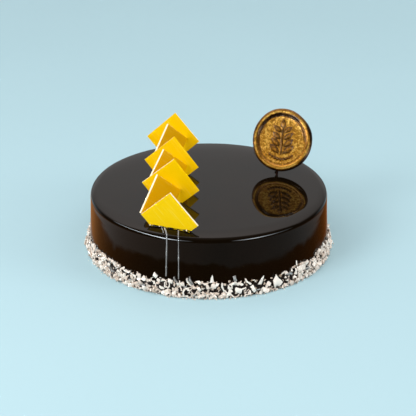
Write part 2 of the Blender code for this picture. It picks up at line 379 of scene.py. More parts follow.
def cake_profile():
    """From the foot up the wall, round the rim and over the top to its middle."""
    glaze = bpy.context.scene.cake.glaze
    rounding = glaze.rim_rounding
    flat_radius, rim_height = rim_middle()
    profile = []
    for step in range(WALL_STEPS):
        height = rim_height * step / WALL_STEPS
        profile.append((wall_radius(height), height))
    for step in range(RIM_STEPS + 1):
        turn = 0.5 * math.pi * (1.0 - step / RIM_STEPS)
        profile.append((flat_radius + rounding * math.sin(turn), rim_height + rounding * math.cos(turn)))
    for share in TOP_RINGS:
        profile.append((flat_radius * share, CAKE_TOP - glaze.edge_fall * share**12))
    return profile


def mirror_glaze(settings):
    """Chocolate mirror glaze of cocoa, sugar, cream and gelatine, poured warm over the frozen cake.

    It sets to a smooth near-black skin that mirrors the room, with faint waves where it ran.
    """
    material, tree, place = start_material("poured_mirror_glaze")
    flow = add_node(tree, "TexNoise", {"Vector": place, "Scale": per_metre(45.0), "Detail": 2.0})["Fac"]
    depth = add_node(tree, "ValToRGB", {"Fac": flow}, [(0.3, settings.tint), (0.7, linear("#120A04"))])
    film = add_node(tree, "TexNoise", {"Vector": place, "Scale": per_metre(18.0), "Detail": 3.0})["Fac"]
    span = {"From Min": 0.3, "From Max": 0.7, "To Min": 0.012, "To Max": 0.035}
    gloss = add_node(tree, "MapRange", {"Value": film, **span})
    waves = add_node(tree, "Bump", {"Height": flow, "Strength": 0.25, "Distance": 0.3 * MM})["Normal"]
    # Runs 12 mm wide and 40 mm tall on the wall only, fading out 14 to 8 mm under the top.
    height = add_node(tree, "SeparateXYZ", {"Vector": place})["Z"]
    span = {"From Min": CAKE_TOP - 8.0 * MM, "From Max": CAKE_TOP - 14.0 * MM}
    on_wall = add_node(tree, "MapRange", {"Value": height, **span})["Result"]
    hung = add_node(tree, "Mapping", {"Vector": place, "Scale": (1.0, 1.0, 0.3)})["Vector"]
    runs = add_node(tree, "TexNoise", {"Vector": hung, "Scale": per_metre(12.0), "Detail": 2.0})["Fac"]
    runs = add_node(tree, "Math", (runs, on_wall), operation="MULTIPLY")["Value"]
    skin = add_node(tree, "Bump", {"Height": runs, "Normal": waves, "Strength": 0.5, "Distance": 0.1 * MM})
    inputs = {
        "Base Color": depth["Color"],
        "Roughness": gloss["Result"],
        "Normal": skin["Normal"],
        "IOR": 1.33,
        "Specular Tint": linear("#EDE5E2"),
    }
    return end_material(material, inputs)


def settle_rim(piece):
    """Turns the rim's shading normals: the set glaze lies flatter over the edge, then turns down fast."""
    flat_radius, rim_height = rim_middle()
    normals = [vertex.normal.copy() for vertex in piece.data.vertices]
    for vertex, normal in zip(piece.data.vertices, normals):
        out, rise = vertex.co.xy.length - flat_radius, vertex.co.z - rim_height
        if out <= 0.0 or rise <= 0.0:
            continue
        tilt = math.degrees(math.atan2(out, rise))
        tilt = math.radians(np.interp(tilt, *zip(*RIM_TILTS)))
        outward = vertex.co.xy.normalized() * math.sin(tilt)
        normal.xyz = (*outward, math.cos(tilt))
    piece.data.normals_split_custom_set_from_vertices(normals)


class CAKE_OT_pour_glaze(bpy.types.Operator):
    """Raises the round cake and pours the dark mirror glaze over it"""

    bl_idname = "cake.pour_glaze"
    bl_label = "Glazed cake"

    def execute(self, context):
        glaze = context.scene.cake.glaze
        piece = raise_profile(cake_profile(), glaze.segments)
        piece.data.shade_smooth()
        settle_rim(piece)
        finish(piece, "poured_glaze", [mirror_glaze(glaze)], ["glazed_cake"])
        return {"FINISHED"}


# ---------------------------------------------------------------- the chocolate squares

# How strongly the brush streaks show on the first square and on the others.
FIRST_BRUSHED = 0.42
OTHERS_BRUSHED = 0.25
# How far the brushed pattern moves along and across from each square to the next.
NEXT_STREAKS = Vector((1.7, 0.37))
# Squares whose yellow coat ran over the upper right edge.
RUN_OVER = (3, 5)
# Thickness in mm of the bead of glaze in front of the first square, and of the others.
FIRST_BEAD = 0.84
OTHER_BEADS = 0.44
BEAD_POINTS = 40
# Chips that broke off the first square: share along its foot, length in mm.
CHIPS = ((0.0, 1.4), (0.06, 0.8), (0.24, 1.1), (0.3, 0.7), (0.9, 1.2))


def square_matrix(node):
    """Place of a square's solid: local X runs from its top corner to its right corner, Y is through it."""
    corners = np.array([vertex.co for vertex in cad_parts[node].data.vertices])
    middle = (corners.min(axis=0) + corners.max(axis=0)) / 2
    spread = corners - middle
    through = Vector(np.linalg.svd(spread, full_matrices=False)[2][2])
    if through.y < 0.0:
        through.negate()
    up = Vector(spread[spread[:, 2].argmax()])
    up = (up - through * up.dot(through)).normalized()
    right = through.cross(up)
    if right.x < 0.0:
        right.negate()
    down_right = (right - up).normalized()
    up_right = (right + up).normalized()
    turned = Matrix((down_right, through, up_right)).transposed()
    return Matrix.Translation(middle) @ turned.to_4x4()


def model_square(settings, materials):
    """One square plate with slightly uneven snapped edges, flat in the XZ plane."""
    deselect_all()
    bpy.ops.mesh.primitive_cube_add(size=1.0, scale=(settings.side, settings.thickness, settings.side))
    piece = bpy.context.object
    apply_place(piece)
    edit(piece)
    bpy.ops.mesh.subdivide(number_cuts=11)
    bpy.ops.mesh.select_all(action="DESELECT")
    bpy.ops.object.mode_set(mode="OBJECT")
    reach = settings.side / 2 - 0.01 * MM
    for vertex in piece.data.vertices:
        vertex.select = max(abs(vertex.co.x), abs(vertex.co.z)) > reach
    bpy.ops.object.mode_set(mode="EDIT")
    bpy.ops.transform.vertex_random(offset=settings.unevenness, uniform=1.0, seed=3)
    bpy.ops.object.mode_set(mode="OBJECT")
    sharp = math.radians(60)
    apply_modifier(piece, "BEVEL", width=0.1 * MM, segments=2, limit_method="ANGLE", angle_limit=sharp)
    for material in materials:
        piece.data.materials.append(material)
    outline = piece.data.uv_layers[0].data
    for face in piece.data.polygons:
        face.material_index = 0 if abs(face.normal.y) > 0.9 else 1
        for corner in face.loop_indices:
            point = piece.data.vertices[piece.data.loops[corner].vertex_index].co
            outline[corner].uv = (point.x / settings.side + 0.5, point.z / settings.side + 0.5)
    smooth(piece)
    return piece


def cocoa_butter(name, tint):
    """Yellow cocoa butter brushed on acetate before the white chocolate was spread over it.

    The face that lay on the acetate is satin, with pale hairlines where the brush drew it thin.
    """
    material, tree, place = start_material(name, "UV")
    # Brush hairs leave streaks about 0.5 mm wide and as long as the square, along its U.
    drawn = {"Scale": (0.9, 30.0, 1.0), "Rotation": (0.0, 0.0, math.radians(2.0))}
    stretched = add_node(tree, "Mapping", {"Vector": place, **drawn})["Vector"]
    hairs = add_node(tree, "TexNoise", {"Vector": stretched, "Scale": 1.0, "Detail": 4.0})["Fac"]
    # How hard each square was brushed is in its own attribute.
    brushed = add_node(tree, "Attribute", attribute_name="brushed")["Fac"]
    thin = add_node(tree, "MapRange", {"Value": hairs, "From Min": 0.57, "From Max": 0.66})["Result"]
    thin = add_node(tree, "Math", (thin, brushed), operation="MULTIPLY")["Value"]
    streak = add_node(tree, "ValToRGB", {"Fac": thin}, [(0.0, tint), (1.0, linear("#FFDC66"))])
    span = {"From Min": 0.3, "From Max": 0.7, "To Min": 0.4, "To Max": 0.55}
    satin = add_node(tree, "MapRange", {"Value": hairs, **span})
    ridges = add_node(tree, "Bump", {"Height": hairs, "Strength": 0.3, "Distance": 0.05 * MM})
    inputs = {
        "Base Color": streak["Color"],
        "Roughness": satin["Result"],
        "Normal": ridges["Normal"],
        "Specular IOR Level": 0.07,
    }
    return end_material(material, inputs)


def snapped_chocolate(settings):
    """White chocolate where the squares were cut and snapped: matt, cream and finely broken."""
    tones = [(0.3, linear("#F3DFB0")), (0.6, settings.edge_tint)]
    return grained_material("snapped_white_chocolate", 0.8, tones, (0.5, 0.1), (0.55, 0.75), detail=3.0)


def foot_ends(node, settings, side):
    """Where one face of a square enters the glaze, from left to right; side is -1 in front, 1 behind."""
    half = settings.side / 2
    place = square_matrix(node)
    depth = side * settings.thickness / 2
    corners = [place @ Vector((x * half, depth, z * half)) for x, z in ((1, 1), (1, -1), (-1, -1), (-1, 1))]
    ends = []
    for start, end in zip(corners, corners[1:] + corners[:1]):
        if (start.z - CAKE_TOP) * (end.z - CAKE_TOP) < 0.0:
            ends.append(start.lerp(end, (CAKE_TOP - start.z) / (end.z - start.z)))
    return sorted(ends, key=lambda end: end.x)


def raise_meniscus(settings):
    """The glaze that climbed a little at the foot of each square, on both faces."""
    beads = []
    for node in SQUARE_NODES:
        for side in (-1, 1):
            left, right = foot_ends(node, settings, side)
            places = [left.lerp(right, step / (BEAD_POINTS - 1)) for step in range(BEAD_POINTS)]
            # The bead swells and thins every few millimetres.
            points = [(place, 1.0 + 1.1 * noise.noise(place / (2.5 * MM))) for place in places]
            thickness = FIRST_BEAD if node == SQUARE_NODES[0] and side == -1 else OTHER_BEADS
            beads.append(draw_tube("meniscus", thickness * MM, 2, points))
    return join(beads)


def lay_chips(settings):
    """Cream chips at the foot of the first square."""
    left, right = foot_ends(SQUARE_NODES[0], settings, -1)
    rng = np.random.default_rng(5)
    chips = []
    for (share, size), (corners, sides) in zip(CHIPS, model_variants(chunk_model, len(CHIPS))):
        placed = corners @ random_turn(rng).T * size * MM + np.array(left.lerp(right, share))
        # They lie in front of the face and partly in the glaze.
        placed[:, 2] += 0.2 * MM
        placed[:, 1] -= 0.35 * MM
        chips.append((placed, sides, share))
    return piece_of_crumbs("foot_chips", chips)


class CAKE_OT_stand_squares(bpy.types.Operator):
    """Stands the row of yellow chocolate squares in the glaze"""

    bl_idname = "cake.stand_squares"
    bl_label = "Chocolate squares"

    def execute(self, context):
        settings = context.scene.cake.squares
        snapped = snapped_chocolate(settings)
        faces = cocoa_butter("brushed_cocoa_butter", settings.tint)
        shaded_faces = cocoa_butter("shaded_cocoa_butter", settings.shaded_tint)
        model = model_square(settings, [faces, snapped])
        for number, node in enumerate(SQUARE_NODES, start=1):
            select_only(model)
            bpy.ops.object.duplicate(linked=False)
            square = context.object
            # The squares that stand across take the shaded copy of the cocoa butter: painted shade.
            if number % 2 == 0:
                square.data.materials[0] = shaded_faces
            if number in RUN_OVER:
                for face in square.data.polygons:
                    if face.normal.z > 0.5:
                        face.material_index = 0
            for corner in square.data.uv_layers[0].data:
                corner.uv += NEXT_STREAKS * number
            brushed = square.data.attributes.new("brushed", "FLOAT", "POINT")
            strength = FIRST_BRUSHED if number == 1 else OTHERS_BRUSHED
            brushed.data.foreach_set("value", np.full(len(square.data.vertices), strength))
            apply_place(square, square_matrix(node))
            finish(square, f"yellow_square_{number}", [], [node])
        bpy.data.objects.remove(model, do_unlink=True)
        meniscus = raise_meniscus(settings)
        finish(meniscus, "glaze_meniscus", [mirror_glaze(context.scene.cake.glaze)])
        finish(lay_chips(settings), "foot_chips", [snapped])
        return {"FINISHED"}


# ---------------------------------------------------------------- the medallion

# Middle of the medallion in mm: to the right, behind the cake's middle and over the glaze.
SEAL_MIDDLE = (60.9, 27.4, 26.0)
SEAL_SEGMENTS = 160
# The rolled rim: steps round it, and the degrees that they cover.
ROLL_STEPS = 12
ROLL_SPAN = 208
# Radius in mm of the sprig with its beads, and of the groove round the field.
SPRIG_REACH = 17.2
GROOVE_REACH = 21.4
# Where round the medallion, at its upper left towards the light, the groove is painted darkest in shade and
# the outer edge least.
LIGHT_SIDE = math.radians(125)
# How dark the rim is painted, by radius in mm: painted shade in its groove and on its outer edge, and none on
# its crest, which its even coat paints as a highlight.
RIM_SHADE_AND_HIGHLIGHT = (
    (18.6, 0.0), (19.3, 0.95), (21.0, 0.95), (21.6, 0.3), (22.0, 0.0), (22.5, 0.0), (22.9, 0.5),
    (23.4, 0.9), (24.2, 1.0),
)
# How dark the sprig is painted, by height in mm over the field: its own dark chocolate, with painted shade
# darkest near its foot and a painted highlight lighter towards its top.
SPRIG_PATINA_AND_SHADE = ((0.1, 0.0), (0.35, 0.95), (0.8, 0.75), (1.3, 0.35))


def seal_place():
    """Turns a medallion made flat, face up, to its place on the cake."""
    seal = bpy.context.scene.cake.seal
    stood = Matrix.Rotation(math.radians(90), 4, "X")
    leaned = Matrix.Rotation(-seal.lean, 4, "X")
    turned = Matrix.Rotation(seal.turn, 4, "Z")
    right, back, over = SEAL_MIDDLE
    middle = Vector((right * MM, back * MM, CAKE_TOP + over * MM))
    taller = Matrix.Diagonal((1.0, seal.stretch, 1.0, 1.0))
    return Matrix.Translation(middle) @ turned @ leaned @ stood @ taller


def seal_profile(seal):
    """From the back, round the rolled rim and down to the sunken field."""
    tube = seal.rim_thickness / 2
    profile = [(seal.radius - tube - 3.0 * MM, 0.0)]
    for step in range(ROLL_STEPS + 1):
        turn = math.radians(-90 + ROLL_SPAN * step / ROLL_STEPS)
        profile.append((seal.radius - tube + tube * math.cos(turn), tube + tube * math.sin(turn)))
    # A slope of about 45 degrees runs from the roll's crest down to the field.
    crest_radius, crest = profile[-1]
    for share in (0.35, 0.7, 0.9, 1.0):
        radius = crest_radius + (seal.field_radius - crest_radius) * share
        profile.append((radius, crest + (seal.field_thickness - crest) * share**1.2))
    profile.append((0.0, seal.field_thickness))
    return profile


def wander(angle_round):
    """The medallion was pressed from a soft blob, so its edge wanders and has a dent at its top right."""
    lobes = 0.006 * math.sin(3 * angle_round + 2.1) + 0.004 * math.sin(7 * angle_round)
    dent = 0.02 * math.exp(-(((angle_round - math.radians(57)) / 0.3) ** 2))
    return 1.0 + lobes - dent


def raise_bump(seal, size, x, y, degrees):
    """A long low bump with pointed ends on the field: its length, width and rise, and its place, in mm."""
    deselect_all()
    bpy.ops.mesh.primitive_uv_sphere_add(segments=20, ring_count=14, radius=0.5)
    bump = bpy.context.object
    for vertex in bump.data.vertices:
        vertex.co.y *= 1.0 - 0.75 * (2.0 * vertex.co.x) ** 2
    bump.scale = [measure * MM for measure in size]
    bump.rotation_euler = (0.0, 0.0, math.radians(degrees))
    bump.location = (x * MM, y * MM, seal.field_thickness)
    apply_place(bump)
    return bump


def raise_sprig(seal):
    """The generic raised design: a sprig of leaves, a row of beads and a thin ring round them."""
    stem = raise_bump(seal, (24.0, 1.5, 2.4), 0.0, -0.5, 90)
    top_leaf = raise_bump(seal, (8.0, 3.8, 2.6), 0.0, 12.5, 90)
    bumps = [stem, top_leaf]
    # The leaves grow down the stem.
    for pair in range(4):
        grown = 0.9 + 0.09 * pair
        leaf = (9.0 * grown, 3.9 * grown, 2.6)
        for side in (-1, 1):
            bumps.append(raise_bump(seal, leaf, side * 4.9 * grown, 8.5 - 5.2 * pair, 90 - side * 52))
    for bead in range(-4, 5):
        swing = -90 + 9.5 * bead
        x, y = 15.0 * math.cos(math.radians(swing)), 15.0 * math.sin(math.radians(swing))
        bumps.append(raise_bump(seal, (2.1, 2.1, 2.2), x, y, swing))
    bpy.ops.mesh.primitive_torus_add(
        major_radius=17.9 * MM,
        minor_radius=0.35 * MM,
        major_segments=96,
        minor_segments=8,
        location=(0, 0, seal.field_thickness),
    )
    bumps.append(bpy.context.object)
    return bumps


def press_lumps(disc, name, across, strength, **settings):
    """Presses soft lumps, so far across, into the medallion."""
    lumps = bpy.data.textures.new(name, "CLOUDS")
    lumps.noise_scale = across
    settings = {"strength": strength, "mid_level": 0.5, "texture_coords": "LOCAL", **settings}
    apply_modifier(disc, "DISPLACE", texture=lumps, **settings)


def mark_patina_and_shade(disc, seal):
    """Marks where the medallion is painted dark: the sprig's dark chocolate with painted shade near its foot,
    and painted shade in the groove and round the edge.
    """
    marks = disc.data.attributes.new("patina_and_shade", "FLOAT", "POINT")
    field = disc.data.attributes.new("field", "FLOAT", "POINT")
    radii, rim_shading = zip(*RIM_SHADE_AND_HIGHLIGHT)
    rises, sprig_shading = zip(*SPRIG_PATINA_AND_SHADE)
    for vertex, mark, sunken in zip(disc.data.vertices, marks.data, field.data):
        angle_round = math.atan2(vertex.co.y, vertex.co.x)
        radius = vertex.co.xy.length / wander(angle_round) / MM
        sunken.value = np.interp(radius, (19.5, 21.0), (1.0, 0.0))
        if radius < SPRIG_REACH:
            rise = (vertex.co.z - seal.field_thickness) / MM
            mark.value = np.interp(rise, rises, sprig_shading)
            continue
        # Painted shade turns with the light from the upper left: the groove is darkest there, and the outer
        # edge is darkest on the far side.
        towards_light = 0.5 + 0.5 * math.cos(angle_round - LIGHT_SIDE)
        share = 0.2 + 0.8 * towards_light if radius < GROOVE_REACH else 1.0 - 0.25 * towards_light
        # Patches 8 mm long and 3 mm wide where the rim was handled.
        x, y = 2.8 * math.cos(angle_round), 2.8 * math.sin(angle_round)
        patch = 1.1 * max(0.0, noise.noise((x, y, radius / 3.0)) - 0.1)
        mark.value = min(1.0, share * np.interp(radius, radii, rim_shading) + patch)


def gold_lustre(settings):
    """Chocolate pressed with a seal and brushed with edible gold lustre.

    Painted shade darkens the rim's groove and outer edge, and its crest is painted pale as a highlight; the
    hollows and the sprig are darker, partly dark chocolate that the powder missed and partly painted shade.
    """
    material, tree, place = start_material("brushed_gold_lustre")
    # Darker in the hollows: partly dark chocolate that the powder missed, partly painted shade.
    pointed = add_node(tree, "NewGeometry")["Pointiness"]
    hollows = add_node(tree, "MapRange", {"Value": pointed, "From Min": 0.4, "From Max": 0.5})["Result"]
    # The dry brush left blotches of 4 mm, and the powder lies in flakes of 2 mm.
    blotches = add_node(tree, "TexNoise", {"Vector": place, "Scale": per_metre(4.0), "Detail": 3.0})["Fac"]
    flaky = {"Scale": per_metre(2.0), "Detail": 3.0, "Roughness": 0.6, "Distortion": 0.8}
    grains = add_node(tree, "TexNoise", {"Vector": place, **flaky})["Fac"]
    mottled = add_node(tree, "Math", (blotches, 0.25, grains), operation="MULTIPLY_ADD")["Value"]
    span = {"From Min": 0.45, "From Max": 0.8, "To Min": 0.42, "To Max": 0.95}
    worn = add_node(tree, "MapRange", {"Value": mottled, **span})["Result"]
    # The rim takes an even coat of 0.93, which paints its unshaded crest in the palest tones as a highlight;
    # only the field is mottled.
    field = add_node(tree, "Attribute", attribute_name="field")["Fac"]
    coat = add_node(tree, "Mix", {0: field, 2: 0.93, 3: worn})[0]
    # The painted shade and highlight of the rim, with the sprig's dark chocolate and painted shade.
    darkened = add_node(tree, "Attribute", attribute_name="patina_and_shade")["Fac"]
    undarkened = add_node(tree, "Math", (1.0, darkened), operation="SUBTRACT", use_clamp=True)["Value"]
    unshaded = add_node(tree, "Math", (hollows, undarkened), operation="MULTIPLY")["Value"]
    cover = add_node(tree, "Math", (unshaded, coat), operation="MULTIPLY")["Value"]
    tones = [
        (0.0, settings.patina_and_shade),
        (0.3, linear("#7A4E16")),
        (0.65, settings.tint),
        (0.85, linear("#F0BC55")),
        (1.0, linear("#FFDA74")),
    ]
    tone = add_node(tree, "ValToRGB", {"Fac": cover}, tones)
    span = {"From Min": 0.25, "From Max": 0.75, "To Min": 0.17, "To Max": 0.36}
    rough = add_node(tree, "MapRange", {"Value": grains, **span})
    ruffled = add_node(tree, "MapRange", {"Value": field, "To Min": 0.08, "To Max": 0.6})["Result"]
    relief = add_node(tree, "Bump", {"Height": grains, "Strength": ruffled, "Distance": 0.2 * MM})
    # Fingers pressed the powder on the rim to a denser, more metallic film.
    film = add_node(tree, "MapRange", {"Value": field, "To Min": 0.58, "To Max": 0.35})
    inputs = {
        "Base Color": tone["Color"],
        "Metallic": film["Result"],
        "Roughness": rough["Result"],
        "Normal": relief["Normal"],
    }
    return end_material(material, inputs)


class CAKE_OT_press_seal(bpy.types.Operator):
    """Presses the gold medallion with its rolled rim and raised sprig"""

    bl_idname = "cake.press_seal"
    bl_label = "Gold medallion"

    def execute(self, context):
        seal = context.scene.cake.seal
        disc = raise_profile(seal_profile(seal), SEAL_SEGMENTS)
        for vertex in disc.data.vertices:
            round_angle = math.atan2(vertex.co.y, vertex.co.x)
            share = vertex.co.xy.length / seal.radius
            vertex.co.xy *= 1.0 + (wander(round_angle) - 1.0) * share**2
        join([disc, *raise_sprig(seal)])
        apply_modifier(disc, "REMESH", mode="VOXEL", voxel_size=0.3 * MM)
        press_lumps(disc, "pressed_lumps", 9.0 * MM, 0.3 * MM)
        inside = disc.vertex_groups.new(name="inside")
        field = [vertex.index for vertex in disc.data.vertices if vertex.co.xy.length < 19.6 * MM]
        inside.add(field, 1.0, "REPLACE")
        press_lumps(disc, "pressed_creases", 2.4 * MM, 0.4 * MM, vertex_group="inside")
        apply_modifier(disc, "SMOOTH", factor=0.5, iterations=3)
        mark_patina_and_shade(disc, seal)
        disc.data.shade_smooth()
        apply_place(disc, seal_place())
        finish(disc, "pressed_medallion", [gold_lustre(seal)], ["gold_seal"])
        return {"FINISHED"}


# The drop of glaze on the pick, in mm: its radius, its height over the glaze, its place by the axis.
DROP_RADIUS = 0.9
DROP_HEIGHT = 2.2
DROP_ASIDE = Vector((-1.2, -0.6, 0.0))


def pick_chocolate():
    """A thin stick of dark chocolate, rolled by hand and slightly bloomed."""
    tones = [(0.35, linear("#0F0503")), (0.7, linear("#2C110C"))]
    return grained_material("rolled_dark_chocolate", 1.5, tones, (0.4, 0.1), 0.32, detail=4.0)


class CAKE_OT_set_pick(bpy.types.Operator):
    """Finishes the pick that carries the medallion"""

    bl_idname = "cake.set_pick"
    bl_label = "Pick"

    def execute(self, context):
        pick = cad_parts["seal_pick"]
        pick.data.materials.clear()
        pick.data.materials.append(pick_chocolate())
        # A drop that ran down the pick and set on its left side.
        corners = np.array([vertex.co for vertex in pick.data.vertices])
        middle = (corners[:, 2].min() + corners[:, 2].max()) / 2
        foot = Vector(corners[corners[:, 2] < middle].mean(axis=0))
        head = Vector(corners[corners[:, 2] > middle].mean(axis=0))
        height = CAKE_TOP + DROP_HEIGHT * MM
        place = foot.lerp(head, (height - foot.z) / (head.z - foot.z)) + DROP_ASIDE * MM
        deselect_all()
        bpy.ops.mesh.primitive_uv_sphere_add(
            segments=20, ring_count=12, radius=DROP_RADIUS * MM, location=place
        )
        drop = knock(2, 0.03 * MM, (0.9, 0.9, 1.25), evenly=0.0)
        apply_place(drop)
        drop.data.shade_smooth()
        finish(drop, "pick_drop", [mirror_glaze(context.scene.cake.glaze)])
        return {"FINISHED"}


# ---------------------------------------------------------------- the crumbs


def knock(seed, wandering, stretch=(), evenly=1.0, broken=0.0, flatten=()):
    """Stretches the new crumb, knocks its corners about, breaks its edges and flattens it."""
    crumb = bpy.context.object
    edit(crumb)
    if stretch:
        bpy.ops.transform.resize(value=stretch)
    bpy.ops.transform.vertex_random(offset=wandering, uniform=evenly, seed=seed)
    if broken:
        bpy.ops.mesh.bevel(offset=broken, segments=1)
    if flatten:
        bpy.ops.transform.resize(value=flatten)
    bpy.ops.object.mode_set(mode="OBJECT")
    return crumb


def chunk_model(seed):
    """A blocky crumb: a cube knocked out of shape, with broken edges."""
    bpy.ops.mesh.primitive_cube_add(size=1.0)
    return knock(seed, 0.3, evenly=0.6, broken=0.06, flatten=(1.0, 0.8, 0.65))


def curl_model(seed):
    """A thin flake that rolled up as it was shaved off."""
    upright = (math.radians(90), 0.0, 0.0)
    bpy.ops.mesh.primitive_grid_add(x_subdivisions=8, y_subdivisions=2, size=1.0, rotation=upright)
    apply_place(bpy.context.object)
    crumb = knock(seed, 0.045, (1.0, 1.0, 0.3 + 0.04 * seed))
    for vertex in crumb.data.vertices:
        vertex.co.z *= 1.0 - 1.6 * max(0.0, vertex.co.x) ** 2
    turn = math.radians(110 + 20 * seed)
    apply_modifier(crumb, "SIMPLE_DEFORM", deform_method="BEND", deform_axis="Z", angle=turn)
    apply_modifier(crumb, "SOLIDIFY", thickness=0.07, offset=0.0)
    return crumb


def fold_model(seed):
    """A flake that broke along a fold, so that it has two leaves."""
    bpy.ops.mesh.primitive_grid_add(x_subdivisions=4, y_subdivisions=3, size=1.0)
    crumb = knock(seed, 0.08, (1.2, 0.75, 1.0))
    lift = math.radians(25 + 14 * seed)
    for vertex in crumb.data.vertices:
        beyond = max(0.0, vertex.co.x + 0.1)
        vertex.co.x -= beyond * (1.0 - math.cos(lift))
        vertex.co.z += beyond * math.sin(lift)
    apply_modifier(crumb, "SOLIDIFY", thickness=0.16, offset=0.0)
    return crumb


def shard_model(seed):
    """A pointed sliver."""
    bpy.ops.mesh.primitive_cone_add(vertices=5, radius1=0.2, depth=1.0)
    return knock(seed, 0.07, (1.0, 0.55, 1.0), broken=0.03)


def almond_model(seed):
    """A plump piece with knocked corners and a drawn-out point that leans."""
    bpy.ops.mesh.primitive_uv_sphere_add(segments=8, ring_count=6, radius=0.5)
    crumb = knock(seed, 0.12, (0.9, 0.55, 1.0))
    for vertex in crumb.data.vertices:
        rise = min(1.0, max(0.0, vertex.co.z + 0.15) / 0.65)
        narrowing = 1.0 - 0.95 * rise**0.75
        vertex.co.x = vertex.co.x * narrowing - 0.06 * rise
        vertex.co.y *= narrowing
    return crumb


def speck_model(seed):
    """A fine rounded speck."""
    bpy.ops.mesh.primitive_ico_sphere_add(subdivisions=1, radius=0.5)
    return knock(seed, 0.2, evenly=0.6)


def model_variants(model, count):
    """The vertices and faces of several variants of one kind of crumb, each 1 long, then put away."""
    variants = []
    for seed in range(1, count + 1):
        deselect_all()
        crumb = model(seed)
        corners = np.array([vertex.co for vertex in crumb.data.vertices])
        corners -= (corners.min(axis=0) + corners.max(axis=0)) / 2
        corners /= np.ptp(corners, axis=0).max()
        variants.append((corners, [tuple(face.vertices) for face in crumb.data.polygons]))
        bpy.data.objects.remove(crumb, do_unlink=True)
    return variants


def random_turn(rng):
    """An even random rotation, as a 3 by 3 matrix."""
    q = rng.normal(size=4)
    w, x, y, z = q / np.linalg.norm(q)
    return np.array(
        [
            [1 - 2 * (y * y + z * z), 2 * (x * y - w * z), 2 * (x * z + w * y)],
            [2 * (x * y + w * z), 1 - 2 * (x * x + z * z), 2 * (y * z - w * x)],
            [2 * (x * z - w * y), 2 * (y * z + w * x), 1 - 2 * (x * x + y * y)],
        ]
    )


# Places tried for each crumb, and how much flatter than round it is pressed on.
TRIES = 9
PRESS = 0.25
# How close to the floor a crumb and a speck may lie, and how far out the specks fell, in mm.
CRUMB_CLEARANCE = 0.03
SPECK_CLEARANCE = 0.02
SPECK_SPREAD = 1.2
SPECK_LIMIT = 104.6
# Radius of the middle and of the inner side of the bed of glaze under the crumbs.
BED_MIDDLE = CAKE_FOOT_RADIUS + 0.9 * MM
BED_INSIDE = CAKE_FOOT_RADIUS - 1.2 * MM
# The crumbs that stand out: model, degrees round from the front, height and size in mm, tilt, shade.
STANDING = {
    "chocolate": (
        (almond_model, 31.2, 7.9, 11.6, -3.0, 0.85),
        (shard_model, 1.4, 15.6, 6.6, 4.0, 0.9),
        (shard_model, 23.6, 10.6, 8.2, 28.0, 0.8),
        (fold_model, -38.4, 11.5, 5.6, 20.0, 0.9),
        (chunk_model, -24.0, 14.6, 4.2, 35.0, 0.9),
        (chunk_model, -17.0, 12.0, 4.4, 15.0, 0.95),
        (fold_model, -8.5, 13.0, 6.0, 80.0, 0.9),
        (fold_model, 17.2, 11.6, 6.2, 70.0, 0.85),
        (chunk_model, 12.5, 6.0, 6.0, 20.0, 0.95),
        (curl_model, 19.5, 5.0, 7.0, 60.0, 0.95),
        (curl_model, -20.6, 6.0, 5.2, 10.0, 0.9),
        (fold_model, 6.2, 9.0, 6.4, 100.0, 0.9),
        (fold_model, -10.5, 4.2, 6.0, 120.0, 0.9),
    ),
    "sugar": (
        (fold_model, -29.6, 5.3, 5.0, 15.0, 0.5),
        (fold_model, -7.6, 14.0, 6.4, 90.0, 0.4),
        (curl_model, 11.3, 14.6, 5.6, 75.0, 0.7),
        (fold_model, 21.5, 4.5, 4.0, 30.0, 0.5),
        (fold_model, -47.9, 7.0, 5.6, 45.0, 0.1),
        (fold_model, -14.4, 13.6, 5.0, 80.0, 0.8),
        (curl_model, 39.0, 9.0, 4.6, 40.0, 0.6),
    ),
}


def unevenness(angle_round, seed):
    """A smooth wander round the ring between about -1 and 1."""
    slow = noise.noise((2.2 * math.cos(angle_round), 2.2 * math.sin(angle_round), seed))
    quick = noise.noise((9.0 * math.cos(angle_round), 9.0 * math.sin(angle_round), seed + 7.7))
    return 1.4 * slow + 1.0 * quick


def uneven_height(angle_round):
    return unevenness(angle_round, 1.3)


def uneven_width(angle_round):
    return unevenness(angle_round, 5.1)


def ring_surface(angle_round, share):
    """Radius and height of the ring's surface, at a share of its own height."""
    crumbs = bpy.context.scene.cake.crumbs
    top = crumbs.height * (1.0 + 0.22 * uneven_height(angle_round))
    width = crumbs.width * (1.0 + 0.3 * uneven_width(angle_round))
    height = top * share
    return wall_radius(height) + width * (1.0 - share**1.6) + 0.4 * MM, height


def emptiest_spot(rng, size, taken):
    """The most open of a few places on the ring, as (angle, share of its height)."""
    best, best_gap = None, -math.inf
    for _ in range(TRIES):
        angle_round, share = rng.uniform(-math.pi, math.pi), rng.uniform(0.0, 1.0)
        gap = math.inf
        if taken:
            angles, shares, sizes = np.array(taken).T
            apart = np.abs((angles - angle_round + math.pi) % (2 * math.pi) - math.pi)
            rise = (shares - share) * bpy.context.scene.cake.crumbs.height
            gap = (np.hypot(apart * CAKE_FOOT_RADIUS, rise) - 0.5 * (sizes + size)).min()
        if gap > best_gap:
            best, best_gap = (angle_round, share), gap
    taken.append((*best, size))
    return best


def scatter(variants, count, sizes, rng, placer, shades):
    """Crumbs that are turned and sized copies of the variants: their corners, faces and shade."""
    crumbs = []
    for _ in range(count):
        corners, sides = variants[rng.integers(len(variants))]
        size = rng.triangular(*sizes) * MM
        crumbs.append((placer(rng, corners * size, size), sides, rng.uniform(*shades)))
    return crumbs


